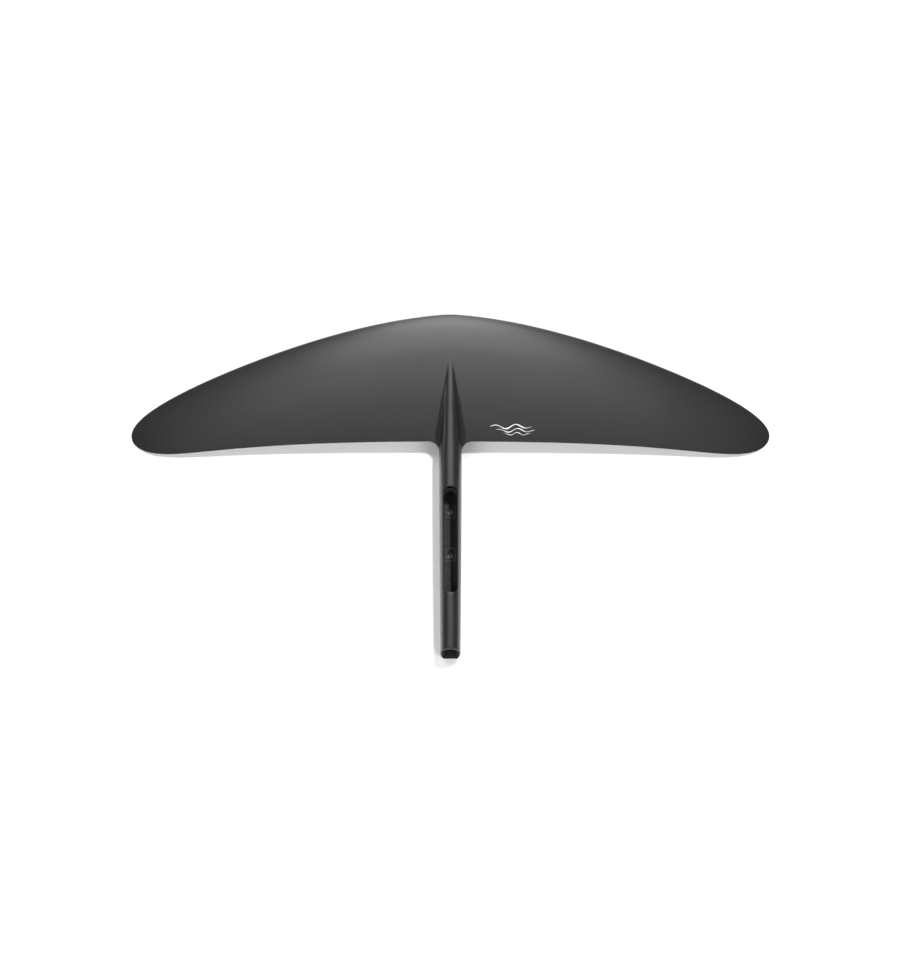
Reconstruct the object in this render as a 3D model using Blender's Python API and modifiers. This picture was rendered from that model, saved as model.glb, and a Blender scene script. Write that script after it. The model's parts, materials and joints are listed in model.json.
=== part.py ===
"""Hydrofoil front wing with its fuselage moulded in one piece with it.

A crescent-shaped carbon wing carries a slim fuselage that runs back from its
middle.  The fuselage has a long open pocket in its top for the foot of a mast
and an open socket in its tail for the rear wing.  The wing is built as a
laminated shell in two halves over foam cores and a spar.

Frame: +X to the right wing tip, +Y forward (towards the leading edge), +Z up
(towards the mast).  The origin is the middle of the mast pocket's flat floor.
"""
import math

import bmesh
import bpy
from mathutils import Matrix, Vector

# ---------------------------------------------------------------- dimensions
HALF_SPAN = 0.425          # half of the 850 mm span
ROOT_CHORD = 0.1794        # leading edge to trailing edge in the middle
NOSE_Y = 0.3203            # the leading edge's foremost point
LENGTH = 0.4727            # foremost point to the tail's end
GROUND_Z = -0.0080         # underside of the belly, below the pocket's floor
PARTING_Z = 0.0120         # height at which the two half shells meet
INCIDENCE_RISE = 0.0040    # the root's leading edge above its trailing edge
TIP_DROOP = 0.0193         # the tips hang this far below the root
ROOT_THICKNESS = 0.115     # thickness over chord at the root
TIP_THICKNESS = 0.082      # and at the tip
CAMBER = 0.025             # camber over chord
EDGE_THICKNESS = 0.0009    # trailing edge
NOSE_ROUND = 0.03          # share of the half span over which the swept leading edges meet
FAIRING_FOOT = 0.0240      # half width of the spine's fairing at the trailing edge
FAIRING_RISE = 0.55        # its height in the middle, as a share of the spine's
FILLET = 0.0140            # plan radius between trailing edge and fuselage
FUSELAGE_HALF_WIDTH = 0.0150
TAIL_HALF_WIDTH = 0.0130
CROWN_RISE = 0.0185        # fuselage crown above the parting line at the pocket
TAIL_RISE = 0.0145         # and at the tail
KEEL_DEPTH = 0.0255        # of the round form, which the flat belly then cuts
SECTION_POWER = 2.35       # superellipse power of the fuselage's section
WING_SKIN = 0.0015         # laminate thickness at the root
TIP_SKIN = 0.0009          # and at the tips
FUSELAGE_SKIN = 0.0018
GAP = 0.0003               # glue line between neighbouring pieces

POCKET_LENGTH = 0.1446
POCKET_WIDTH = 0.0180
POCKET_REAR_RADIUS = 0.0062
POCKET_WALL = 0.0016
POCKET_RIM_Z = 0.0215      # top of the pocket liner, just under the shell
FLOOR_THICKNESS = 0.0035
BOLT_Y = (0.0472, -0.0128)  # the mast's two bolts
TAIL_BOLT_AFT = (0.4245, 0.4545)
TAIL_TILT = 0.113          # the tail's end leans forward by this much per unit of height
SOCKET_DEPTH = 0.0700      # the tail socket, from the tail's end

SPAR_FRONT, SPAR_REAR = 0.28, 0.45   # the spar caps, over the chord
CAP_THICKNESS = 0.0012

SPAN_COLUMNS = 18
CROWN_COLUMNS = 14
FILLET_COLUMNS = 5
CHORD_ROWS = 13
FUSELAGE_ROWS = 11


# ---------------------------------------------------------------- small maths
def ease(low, high, value):
    """0 below low, 1 above high and a smooth step between."""
    f = min(1.0, max(0.0, (value - low) / (high - low)))
    return f * f * (3.0 - 2.0 * f)


def smooth_max(a, b, reach):
    """The larger of two heights, with a fillet where they are closer than reach."""
    if reach < 1e-6:
        return max(a, b)
    h = max(reach - abs(a - b), 0.0) / reach
    return max(a, b) + h * h * reach * 0.25


# ---------------------------------------------------------------- wing outline
def leading_edge(t):
    """Distance of the leading edge behind the nose, at t of the half span."""
    t = min(1.0, abs(t))
    sweep = math.sqrt(t * t + NOSE_ROUND ** 2) - NOSE_ROUND
    return (0.0349 * sweep + 0.1287 * t ** 2 - 0.0453 * t ** 4
            + 0.0464 * (1.0 - math.sqrt(max(0.0, 1.0 - t ** 6))))


def straight_trailing_edge(t):
    t = min(1.0, abs(t))
    return (ROOT_CHORD + 0.0094 * t ** 2 + 0.0159 * t ** 4
            - 0.0478 * (1.0 - math.sqrt(max(0.0, 1.0 - t ** 14)))
            + 0.0070 * (1.0 - math.sqrt(max(0.0, 1.0 - t ** 40))))


JOIN_AFT = ROOT_CHORD + FILLET        # where the fuselage leaves the wing
JOIN_HALF_WIDTH = FUSELAGE_HALF_WIDTH


def trailing_edge(x):
    """Trailing edge behind the nose, with the plan fillet to the fuselage."""
    x = abs(x)
    if x <= JOIN_HALF_WIDTH:
        return JOIN_AFT
    edge = straight_trailing_edge(x / HALF_SPAN)
    if x < JOIN_HALF_WIDTH + FILLET:
        d = JOIN_HALF_WIDTH + FILLET - x
        return edge + FILLET - math.sqrt(max(0.0, FILLET ** 2 - d ** 2))
    return edge


# ---------------------------------------------------------------- wing section
def droop(t):
    return TIP_DROOP * abs(t) ** 2.2


def wing_section(x, aft):
    """(mean height, half thickness) of the wing alone."""
    t = min(1.0, abs(x) / HALF_SPAN)
    front = leading_edge(t)
    chord = max(straight_trailing_edge(t) - front, 1e-5)
    f = min(1.0, max(0.0, (aft - front) / chord))
    ratio = ROOT_THICKNESS + (TIP_THICKNESS - ROOT_THICKNESS) * t
    half = 5.0 * ratio * chord * (0.2969 * math.sqrt(f) - 0.1260 * f
                                  - 0.3516 * f ** 2 + 0.2843 * f ** 3
                                  - 0.1036 * f ** 4)
    half += 0.5 * EDGE_THICKNESS * f
    mean = (PARTING_Z - droop(t) + INCIDENCE_RISE * (1.0 - f) * (1.0 - t * t)
            + CAMBER * chord * 4.0 * f * (1.0 - f))
    return mean, half


# ---------------------------------------------------------------- fuselage
SPINE_AFT = 0.0640                    # where the crown rises out of the wing
KEEL_AFT = 0.0420                     # where the keel comes out of the underside


def fuselage_half_width(aft, side=1):
    if aft < JOIN_AFT:
        if side > 0:
            f = max(0.0, (aft - SPINE_AFT) / (JOIN_AFT - SPINE_AFT))
            return 0.0012 + (JOIN_HALF_WIDTH - 0.0012) * f ** 0.9
        return 0.0088 + (JOIN_HALF_WIDTH - 0.0088) * ease(KEEL_AFT, JOIN_AFT - 0.012, aft)
    s = (aft - JOIN_AFT) / (LENGTH - JOIN_AFT)
    return JOIN_HALF_WIDTH + (TAIL_HALF_WIDTH - JOIN_HALF_WIDTH) * s ** 1.4


def crown(aft):
    """Height of the fuselage's top line."""
    mean, half = wing_section(0.0, min(aft, SPINE_AFT))
    if aft < SPINE_AFT:
        return mean + half
    top = PARTING_Z + CROWN_RISE
    if aft < 0.2480:
        return mean + half + (top - mean - half) * ease(SPINE_AFT, 0.2480, aft)
    return top + (TAIL_RISE - CROWN_RISE) * ((aft - 0.2480) / (LENGTH - 0.2480)) ** 1.3


def keel(aft):
    """Height of the round keel's lowest line, before the belly is cut flat."""
    mean, half = wing_section(0.0, min(aft, KEEL_AFT))
    if aft < KEEL_AFT:
        return mean - half
    low = PARTING_Z - KEEL_DEPTH
    return mean - half + (low - mean + half) * ease(KEEL_AFT, 0.1420, aft)


def rounded(x, half_width):
    """Share of the full height left at x across the fuselage."""
    r = min(1.0, abs(x) / half_width)
    return (1.0 - r ** SECTION_POWER) ** (1.0 / SECTION_POWER)


def outer(x, aft, side):
    """Height of the outer surface: side +1 is the top, -1 the underside."""
    half_width = fuselage_half_width(aft, side)
    line = crown(aft) if side > 0 else keel(aft)
    if aft >= JOIN_AFT:
        z = PARTING_Z + (line - PARTING_Z) * rounded(x, half_width)
    else:
        mean, half = wing_section(x, aft)
        wing = mean + side * half
        part = ease(0.1500, JOIN_AFT, aft)
        base = wing + (PARTING_Z - wing) * part
        if abs(x) < half_width:
            body = base + (line - base) * rounded(x, half_width)
        else:
            body = base - side * 1.0 * (abs(x) - half_width)
        edge = trailing_edge(x)
        mean, half = wing_section(0.0, aft)
        proud = max(0.0, side * (line - mean) - half)
        fade = 1.0 - ease(edge - 0.014, edge, aft)
        if side > 0:
            # a straight-edged fairing spreads from the spine's point to the trailing edge
            f = min(1.0, max(0.0, (aft - SPINE_AFT) / (ROOT_CHORD - SPINE_AFT)))
            foot = 0.0012 + (FAIRING_FOOT - 0.0012) * f
            wing += FAIRING_RISE * proud * max(0.0, 1.0 - abs(x) / foot) ** 1.25 * fade
            reach = min(0.0060, 0.9 * proud) * fade
        else:
            reach = min(0.0125, 1.3 * proud) * fade
        z = side * smooth_max(side * wing, side * body, reach)
    if side < 0:
        z = max(z, GROUND_Z)
    return z


def middle(x, aft):
    """The surface on which the two half shells meet."""
    return PARTING_Z if aft >= JOIN_AFT else wing_section(x, aft)[0]


def skin(x, aft):
    t = abs(x) / HALF_SPAN
    wing = WING_SKIN + (TIP_SKIN - WING_SKIN) * t
    body = ease(0.06, 0.18, aft) * (1.0 - ease(0.016, 0.034, abs(x)))
    return wing + (FUSELAGE_SKIN - wing) * body


def inner(x, aft, side):
    """Height of the laminate's inside face."""
    d = 0.0002
    here = outer(x, aft, side)
    slope_x = (outer(x + d, aft, side) - outer(x - d, aft, side)) / (2 * d)
    slope_a = (outer(x, aft + d, side) - outer(x, aft - d, side)) / (2 * d)
    thick = skin(x, aft) * min(2.6, math.sqrt(1.0 + slope_x ** 2 + slope_a ** 2))
    mid = middle(x, aft)
    return mid + side * max(side * (here - mid) - thick, 0.5 * GAP)


def at(x, aft, z):
    lean = TAIL_TILT * (z - GROUND_Z) * ease(LENGTH - 0.030, LENGTH, aft)
    return (x, NOSE_Y - aft + lean, z)


# ---------------------------------------------------------------- scene set-up
for thing in list(bpy.data.objects):
    bpy.data.objects.remove(thing, do_unlink=True)

model = bpy.data.collections.new("hydrofoil_front_wing")
helpers = bpy.data.collections.new("cutters")
bpy.context.scene.collection.children.link(model)
bpy.context.scene.collection.children.link(helpers)


def material(name, colour, roughness, metallic=0.0):
    m = bpy.data.materials.new(name)
    m.use_nodes = True
    shader = m.node_tree.nodes["Principled BSDF"]
    shader.inputs["Base Color"].default_value = (*colour, 1.0)
    shader.inputs["Roughness"].default_value = roughness
    shader.inputs["Metallic"].default_value = metallic
    return m


carbon = material("carbon_laminate", (0.020, 0.020, 0.022), 0.38)
spar_carbon = material("spar_carbon", (0.030, 0.030, 0.032), 0.55)
foam = material("core_foam", (0.72, 0.66, 0.50), 0.90)
filler = material("resin_filler", (0.16, 0.17, 0.18), 0.70)
glass_ply = material("glass_laminate", (0.10, 0.12, 0.11), 0.60)
steel = material("stainless_steel", (0.56, 0.57, 0.58), 0.30, 1.0)


def place(obj, mat, collection=model):
    for holder in list(obj.users_collection):
        holder.objects.unlink(obj)
    collection.objects.link(obj)
    if mat is not None:
        obj.data.materials.clear()
        obj.data.materials.append(mat)
    return obj


def loft(name, quads, top, bottom, mat):
    """A closed solid between two surfaces that share one plan grid."""
    bm = bmesh.new()
    above = [bm.verts.new(p) for p in top]
    below = [bm.verts.new(p) for p in bottom]
    edges = set()
    for q in quads:
        bm.faces.new([above[k] for k in q])
        bm.faces.new([below[k] for k in reversed(q)])
        edges.update((q[k], q[(k + 1) % len(q)]) for k in range(len(q)))
    for a, b in sorted(edges):
        if (b, a) not in edges:
            bm.faces.new((above[b], above[a], below[a], below[b]))
    mesh = bpy.data.meshes.new(name)
    bm.to_mesh(mesh)
    bm.free()
    mesh.shade_smooth()
    mesh.set_sharp_from_angle(angle=math.radians(35))
    return place(bpy.data.objects.new(name, mesh), mat)


def grid(columns, rows):
    """Quads of a plain grid of columns by rows of points, column after column."""
    return [(i * rows + j, i * rows + j + 1, (i + 1) * rows + j + 1, (i + 1) * rows + j)
            for i in range(columns - 1) for j in range(rows - 1)]


def patch(name, xs, afts, top, bottom, mat, width=lambda a: 1.0):
    """A solid over columns xs, where afts(x) lists each column's points."""
    points = [(x * width(a), a) for x in xs for a in afts(x)]
    return loft(name, grid(len(xs), len(afts(xs[0]))),
                [at(x, a, top(x, a)) for x, a in points],
                [at(x, a, bottom(x, a)) for x, a in points], mat)


def spread(low, high, count):
    return [low + (high - low) * k / (count - 1) for k in range(count)]


def chordwise(first, last, count):
    """Points at even shares of the chord between two shares of it."""
    def afts(x):
        front = leading_edge(x / HALF_SPAN)
        chord = straight_trailing_edge(x / HALF_SPAN) - front
        return [front + chord * f for f in spread(first, last, count)]
    return afts


# ---------------------------------------------------------------- half shells
def shell_columns():
    """Stations across the wing, with the crown's own columns in the middle."""
    outward = []
    first = (JOIN_HALF_WIDTH + FILLET) / HALF_SPAN
    start, stop = math.asin(first), math.asin(0.9996)
    for k in range(1, SPAN_COLUMNS + 1):
        s = k / SPAN_COLUMNS
        outward.append(HALF_SPAN * math.sin(start + (stop - start) * s ** 1.05))
    corner = [JOIN_HALF_WIDTH + FILLET * (1.0 - math.cos(math.radians(90) * k / FILLET_COLUMNS))
              for k in range(1, FILLET_COLUMNS + 1)]
    crown_half = [JOIN_HALF_WIDTH * math.sin(math.radians(90) * k / (CROWN_COLUMNS // 2))
                  for k in range(1, CROWN_COLUMNS // 2 + 1)]
    right = crown_half + corner + outward
    return [-x for x in reversed(right)] + [0.0] + right


def shell(name, side, mat):
    xs = shell_columns()
    plan, quads = [], []
    for x in xs:
        front, back = leading_edge(x / HALF_SPAN), trailing_edge(x)
        for j in range(CHORD_ROWS + 1):
            f = 0.0004 + 0.9996 * (j / CHORD_ROWS) ** 1.7
            plan.append((x, front + (back - front) * f))
    rows = CHORD_ROWS + 1
    quads = grid(len(xs), rows)
    inside = [i for i, x in enumerate(xs) if abs(x) <= JOIN_HALF_WIDTH + 1e-9]
    last = {i: i * rows + CHORD_ROWS for i in inside}
    for k in range(1, FUSELAGE_ROWS + 1):
        aft = JOIN_AFT + (LENGTH - JOIN_AFT) * k / FUSELAGE_ROWS
        row = {}
        for i in inside:
            row[i] = len(plan)
            plan.append((xs[i] / JOIN_HALF_WIDTH * fuselage_half_width(aft), aft))
        for i in inside[:-1]:
            quads.append((last[i], row[i], row[i + 1], last[i + 1]))
        last = row
    outside, inside_face = [], []
    for x, aft in plan:
        z, mid = outer(x, aft, side), middle(x, aft)
        if side * (z - mid) < 0.00045:      # the blunt lip along the parting line
            z = mid + side * 0.00045
        outside.append(at(x, aft, z))
        inside_face.append(at(x, aft, inner(x, aft, side)))
    if side > 0:
        return loft(name, quads, outside, inside_face, mat)
    return loft(name, quads, inside_face, outside, mat)


upper_shell = shell("upper_shell", 1, carbon)
lower_shell = shell("lower_shell", -1, carbon)


# ---------------------------------------------------------------- inside the wing
def bed(x):
    """Extra room for the glue bed, larger under the curved fairing."""
    return 0.0002 + 0.0008 * (1.0 - ease(0.020, 0.050, abs(x)))


def under_skin(depth):
    return lambda x, a: inner(x, a, 1) - depth - bed(x)


def over_skin(depth):
    return lambda x, a: inner(x, a, -1) + depth + bed(x)


def wing_only(x, aft, side):
    """Inside face of the wing's own skin, without the fuselage's fairing."""
    mean, half = wing_section(x, aft)
    _, ahead = wing_section(x, aft - 0.0002)
    slope = (half - ahead) / 0.0002
    return mean + side * (half - (skin(x, aft) + 0.0001) * math.sqrt(1.0 + slope ** 2))


def below_top(depth):
    return lambda x, a: wing_only(x, a, 1) - depth - 0.0003


def above_bottom(depth):
    return lambda x, a: wing_only(x, a, -1) + depth + 0.0003


spar_xs = spread(-0.86 * HALF_SPAN, 0.86 * HALF_SPAN, 33)
spar_line = chordwise(SPAR_FRONT, SPAR_REAR, 4)
patch("spar_cap_upper", spar_xs, spar_line,
      below_top(GAP), below_top(GAP + CAP_THICKNESS), spar_carbon)
patch("spar_cap_lower", spar_xs, spar_line,
      above_bottom(GAP + CAP_THICKNESS), above_bottom(GAP), spar_carbon)
patch("spar_web", spread(-0.84 * HALF_SPAN, 0.84 * HALF_SPAN, 29),
      chordwise(0.345, 0.385, 2),
      below_top(2 * GAP + CAP_THICKNESS), above_bottom(2 * GAP + CAP_THICKNESS), spar_carbon)
patch("leading_edge_filler", spread(-0.45 * HALF_SPAN, 0.45 * HALF_SPAN, 25),
      chordwise(0.018, 0.050, 3), below_top(GAP), above_bottom(GAP), filler)

for side, hand in ((-1, "left"), (1, "right")):
    def across(low, high, count, side=side):
        return sorted(side * x for x in spread(low, high, count))
    patch("core_front_" + hand, across(0.00015, 0.85 * HALF_SPAN, 15),
          chordwise(0.062, SPAR_FRONT - 0.008, 5), below_top(GAP), above_bottom(GAP), foam)
    patch("core_rear_" + hand, across(0.0340, 0.85 * HALF_SPAN, 14),
          chordwise(SPAR_REAR + 0.008, 0.79, 6), below_top(GAP), above_bottom(GAP), foam)
    patch("trailing_edge_filler_" + hand, across(0.0340, 0.60 * HALF_SPAN, 12),
          chordwise(0.80, 0.885, 3), below_top(GAP), above_bottom(GAP), filler)
    patch("tip_filler_" + hand, across(0.868 * HALF_SPAN, 0.945 * HALF_SPAN, 5),
          chordwise(0.16, 0.56, 5), below_top(GAP), above_bottom(GAP), filler)
    patch("spar_core_front_" + hand, across(0.00015, 0.83 * HALF_SPAN, 15),
          chordwise(SPAR_FRONT, 0.341, 2),
          below_top(2 * GAP + CAP_THICKNESS), above_bottom(2 * GAP + CAP_THICKNESS), foam)
    patch("spar_core_rear_" + hand, across(0.00015, 0.83 * HALF_SPAN, 15),
          chordwise(0.389, SPAR_REAR, 2),
          below_top(2 * GAP + CAP_THICKNESS), above_bottom(2 * GAP + CAP_THICKNESS), foam)

# foam that fills the fairing between the spar and the front bulkhead
spine_front = 0.1080
patch("spine_core", spread(-1.0, 1.0, 9), lambda x: spread(spine_front, 0.2370, 14),
      under_skin(0.0010), over_skin(0.0015), foam,
      width=lambda a: 0.62 * fuselage_half_width(a))


# ---------------------------------------------------------------- flat outlines
def outline_curve(name, loops, low, high, mat, collection=model):
    """Extrudes closed outlines in X and Y between two heights."""
    data = bpy.data.curves.new(name, "CURVE")
    data.dimensions = "2D"
    data.fill_mode = "BOTH"
    data.extrude = (high - low) / 2
    data.resolution_u = 1
    for loop in loops:
        spline = data.splines.new("POLY")
        spline.points.add(len(loop) - 1)
        for p, (x, y) in zip(spline.points, loop):
            p.co = (x, y, 0.0, 1.0)
        spline.use_cyclic_u = True
    obj = bpy.data.objects.new(name, data)
    obj.location = (0.0, 0.0, (high + low) / 2)
    return place(obj, mat, collection)


def as_mesh(obj, collection, mat=None):
    """The curve object's evaluated mesh as a new welded mesh object."""
    bpy.context.view_layer.update()
    graph = bpy.context.evaluated_depsgraph_get()
    mesh = bpy.data.meshes.new_from_object(obj.evaluated_get(graph))
    bm = bmesh.new()
    bm.from_mesh(mesh)
    bmesh.ops.remove_doubles(bm, verts=bm.verts, dist=1e-6)
    bmesh.ops.recalc_face_normals(bm, faces=bm.faces)
    bm.to_mesh(mesh)
    bm.free()
    name, world = obj.name, obj.matrix_world.copy()
    bpy.data.objects.remove(obj, do_unlink=True)
    made = bpy.data.objects.new(name, mesh)
    made.matrix_world = world
    return place(made, mat, collection)


def helper(obj):
    obj.hide_render = True
    obj.display_type = "WIRE"
    return obj


def cut(obj, cutter):
    m = obj.modifiers.new("cut_" + cutter.name, "BOOLEAN")
    m.operation = "DIFFERENCE"
    m.object = cutter
    m.solver = "EXACT"


def arc(cx, cy, r, start, stop, count):
    return [(cx + r * math.cos(math.radians(start + (stop - start) * k / (count - 1))),
             cy + r * math.sin(math.radians(start + (stop - start) * k / (count - 1))))
            for k in range(count)]


def pocket_outline(grow):
    """The mast foot's outline: a round nose in front and rounded rear corners."""
    half, end = POCKET_WIDTH / 2 + grow, POCKET_LENGTH / 2 + grow
    front_y = end - half
    r = POCKET_REAR_RADIUS + grow
    return (arc(0.0, front_y, half, 0, 180, 13)
            + arc(-half + r, -end + r, r, 180, 270, 6)
            + arc(half - r, -end + r, r, 270, 360, 6))


def cylinder(name, radius, low, high, y, mat=None, collection=model, sides=24):
    bm = bmesh.new()
    bmesh.ops.create_cone(bm, cap_ends=True, segments=sides, radius1=radius, radius2=radius,
                          depth=high - low,
                          matrix=Matrix.Translation((0.0, y, (low + high) / 2)))
    mesh = bpy.data.meshes.new(name)
    bm.to_mesh(mesh)
    bm.free()
    return place(bpy.data.objects.new(name, mesh), mat, collection)


def slab(name, size, centre, mat=None, collection=model):
    bm = bmesh.new()
    bmesh.ops.create_cube(bm, size=1.0, matrix=Matrix.Translation(centre) @ Matrix.Diagonal((*size, 1.0)))
    mesh = bpy.data.meshes.new(name)
    bm.to_mesh(mesh)
    bm.free()
    return place(bpy.data.objects.new(name, mesh), mat, collection)


# ---------------------------------------------------------------- mast pocket
slot_cutter = helper(as_mesh(outline_curve("slot_cutter", [pocket_outline(0.0002)],
                                           0.0130, 0.0500, None, helpers), helpers))
cut(upper_shell, slot_cutter)

def rings(name, loops, heights, mat):
    """A closed solid lofted up through outlines of equal length."""
    bm = bmesh.new()
    levels = [[bm.verts.new((x, y, z)) for x, y in loop] for loop, z in zip(loops, heights)]
    count = len(loops[0])
    bm.faces.new(list(reversed(levels[0])))
    bm.faces.new(levels[-1])
    for low, high in zip(levels, levels[1:]):
        for k in range(count):
            n = (k + 1) % count
            bm.faces.new((low[k], low[n], high[n], high[k]))
    mesh = bpy.data.meshes.new(name)
    bm.to_mesh(mesh)
    bm.free()
    return place(bpy.data.objects.new(name, mesh), mat)


mast_socket = rings("mast_socket",
                    [pocket_outline(grow) for grow in (0.0, POCKET_WALL, POCKET_WALL, 0.0004)],
                    [-FLOOR_THICKNESS, POCKET_WALL - FLOOR_THICKNESS,
                     POCKET_RIM_Z - 0.0033, POCKET_RIM_Z], glass_ply)
cut(mast_socket, helper(as_mesh(outline_curve("pocket_cutter", [pocket_outline(0.0)],
                                              0.0, 0.0600, None, helpers), helpers)))

PLATE = (0.0160, 0.0210, 0.0012)
for y, where in zip(BOLT_Y, ("front", "rear")):
    recess = helper(slab("plate_recess_" + where,
                         (PLATE[0] + 2 * GAP, PLATE[1] + 2 * GAP, 0.0060),
                         (0.0, y, 0.0030 - PLATE[2] - GAP), None, helpers))
    cut(mast_socket, recess)
    cut(mast_socket, helper(cylinder("floor_hole_" + where, 0.0058, -0.010, 0.002, y,
                                     None, helpers)))
    cut(lower_shell, helper(cylinder("belly_hole_" + where, 0.0078, -0.020, -0.001, y,
                                     None, helpers, 32)))
    # a slotted plate let into the pocket's floor, over the bush
    plate = slab("socket_wear_plate_" + where, PLATE, (0.0, y, -PLATE[2] / 2 - 0.0001), steel)
    slot = (arc(0.0, y + 0.0030, 0.0043, 0, 180, 9) + arc(0.0, y - 0.0030, 0.0043, 180, 360, 9))
    cut(plate, helper(as_mesh(outline_curve("plate_slot_" + where, [slot], -0.01, 0.01,
                                            None, helpers), helpers)))


def turned(name, profile, y, mat, steps=28):
    """A turned piece about a vertical axis, from a profile that runs down its outer side."""
    mesh = bpy.data.meshes.new(name)
    count = len(profile)
    mesh.from_pydata([(r, 0.0, z) for r, z in profile], [(k, (k + 1) % count) for k in range(count)], [])
    obj = bpy.data.objects.new(name, mesh)
    obj.location = (0.0, y, 0.0)
    place(obj, mat)
    screw = obj.modifiers.new("turn", "SCREW")
    screw.axis = "Z"
    screw.steps = steps
    screw.render_steps = steps
    screw.use_merge_vertices = True
    screw.merge_threshold = 0.00001
    screw.use_smooth_shade = True
    return obj


def bush_profile(flange, barrel, bore, top):
    """Countersunk bush, flange down; the bolt's head sits in the cone."""
    low = GROUND_Z + 0.0002
    return [(barrel, top), (barrel, low + 0.0014), (flange, low + 0.0014), (flange, low),
            (flange - 0.0006, low), (bore, low + (flange - 0.0006 - bore)), (bore, top)]


BUSH_TOP = -PLATE[2] - 2 * GAP
for y, where in zip(BOLT_Y, ("front", "rear")):
    turned("mast_bolt_bush_" + where, bush_profile(0.0075, 0.0055, 0.0042, BUSH_TOP), y, steel)

# solid laminate between the pocket's floor and the belly's skin
pad_top = -FLOOR_THICKNESS - GAP
backing_pad = patch("belly_backing_pad", spread(-0.0078, 0.0078, 3),
                    lambda x: spread(0.2520, 0.3880, 3),
                    lambda x, a: pad_top, lambda x, a: GROUND_Z + FUSELAGE_SKIN + GAP, glass_ply)
for y, where in zip(BOLT_Y, ("front", "rear")):
    cut(backing_pad, helper(cylinder("pad_hole_" + where, 0.0058, -0.020, 0.002, y, None, helpers)))

# ---------------------------------------------------------------- bulkheads
for name, first, last in (("bulkhead_front", 0.2395, 0.2425), ("bulkhead_rear", 0.3970, 0.4000)):
    half = fuselage_half_width(last) - 0.0036
    patch(name, spread(-half, half, 11), lambda x, f=first, l=last: [f, l],
          under_skin(GAP), over_skin(GAP), glass_ply)


# ---------------------------------------------------------------- tail socket
def superellipse(half_x, half_y, power, count):
    points = []
    for k in range(count):
        c, s = math.cos(2 * math.pi * k / count), math.sin(2 * math.pi * k / count)
        points.append((half_x * math.copysign(abs(c) ** (2 / power), c),
                       half_y * math.copysign(abs(s) ** (2 / power), s)))
    return points


SOCKET_Z = 0.0094                      # height of the tail socket's axis
sleeve = outline_curve("tail_socket",
                       [superellipse(0.0105, 0.0144, 2.5, 40), superellipse(0.0090, 0.0129, 2.5, 40)],
                       0.0, SOCKET_DEPTH, glass_ply)
sleeve.rotation_euler = (math.radians(90), 0.0, 0.0)
sleeve.location = (0.0, NOSE_Y - LENGTH + 0.0003 + SOCKET_DEPTH / 2, SOCKET_Z)
tail_socket = as_mesh(sleeve, model, glass_ply)
for v in tail_socket.data.vertices:
    if v.co.z > 0:                     # the end at the tail leans with the shell's
        v.co.z -= TAIL_TILT * (v.co.y + SOCKET_Z - GROUND_Z)
for aft, where in zip(TAIL_BOLT_AFT, ("front", "rear")):
    y = NOSE_Y - aft
    cut(tail_socket, helper(cylinder("sleeve_hole_" + where, 0.0047, -0.020, 0.004, y,
                                     None, helpers)))
    cut(lower_shell, helper(cylinder("tail_hole_" + where, 0.0063, -0.020, -0.001, y,
                                     None, helpers, 28)))
    turned("tail_bolt_bush_" + where, bush_profile(0.0060, 0.0044, 0.0032, -0.0036), y, steel, 24)
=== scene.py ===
import json
import math

import bmesh
import bpy
import numpy as np
from mathutils import Matrix, Vector


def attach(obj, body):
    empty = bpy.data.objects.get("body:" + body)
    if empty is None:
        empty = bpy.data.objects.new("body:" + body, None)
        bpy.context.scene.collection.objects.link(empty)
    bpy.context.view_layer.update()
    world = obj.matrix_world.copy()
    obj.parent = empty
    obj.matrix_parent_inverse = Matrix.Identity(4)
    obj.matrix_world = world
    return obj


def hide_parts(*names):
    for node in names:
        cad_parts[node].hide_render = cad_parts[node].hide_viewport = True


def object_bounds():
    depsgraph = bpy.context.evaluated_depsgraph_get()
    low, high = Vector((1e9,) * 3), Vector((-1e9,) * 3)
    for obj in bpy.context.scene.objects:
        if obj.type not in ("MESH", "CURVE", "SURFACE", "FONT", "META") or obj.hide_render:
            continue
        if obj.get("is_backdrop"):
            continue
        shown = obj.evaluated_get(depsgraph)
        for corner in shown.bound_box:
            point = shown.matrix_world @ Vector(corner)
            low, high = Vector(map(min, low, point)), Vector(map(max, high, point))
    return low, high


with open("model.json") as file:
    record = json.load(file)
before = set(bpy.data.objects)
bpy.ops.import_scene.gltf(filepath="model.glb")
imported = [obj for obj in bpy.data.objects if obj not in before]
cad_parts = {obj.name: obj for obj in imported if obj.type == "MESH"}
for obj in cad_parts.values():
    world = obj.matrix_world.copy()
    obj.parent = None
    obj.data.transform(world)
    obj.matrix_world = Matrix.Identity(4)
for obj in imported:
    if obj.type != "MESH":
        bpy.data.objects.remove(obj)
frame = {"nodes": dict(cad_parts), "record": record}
CAD_LOW, CAD_HIGH = (np.array(v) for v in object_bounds())

# ------------------------------------------------------------------ the CAD's dimensions, in metres
HALF_SPAN = min(0.42483, float(CAD_HIGH[0]))
ROOT_CHORD = 0.1794
NOSE_Y = 0.3203
LENGTH = 0.4727
GROUND_Z = -0.0080
PARTING_Z = 0.0120
INCIDENCE_RISE = 0.0040
TIP_DROOP = 0.0193
ROOT_THICKNESS = 0.115
TIP_THICKNESS = 0.082
CAMBER = 0.025
EDGE_THICKNESS = 0.0009
NOSE_ROUND = 0.03
FAIRING_FOOT = 0.0240
FAIRING_RISE = 0.55
FILLET = 0.0140
FUSELAGE_HALF_WIDTH = 0.0150
TAIL_HALF_WIDTH = 0.0130
CROWN_RISE = 0.0185
TAIL_RISE = 0.0145
KEEL_DEPTH = 0.0255
SECTION_POWER = 2.35
POCKET_LENGTH = 0.1446
POCKET_WIDTH = 0.0180
POCKET_REAR_RADIUS = 0.0062
BOLT_Y = (0.0472, -0.0128)
TAIL_BOLT_Y = (NOSE_Y - 0.4245, NOSE_Y - 0.4545)
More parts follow.
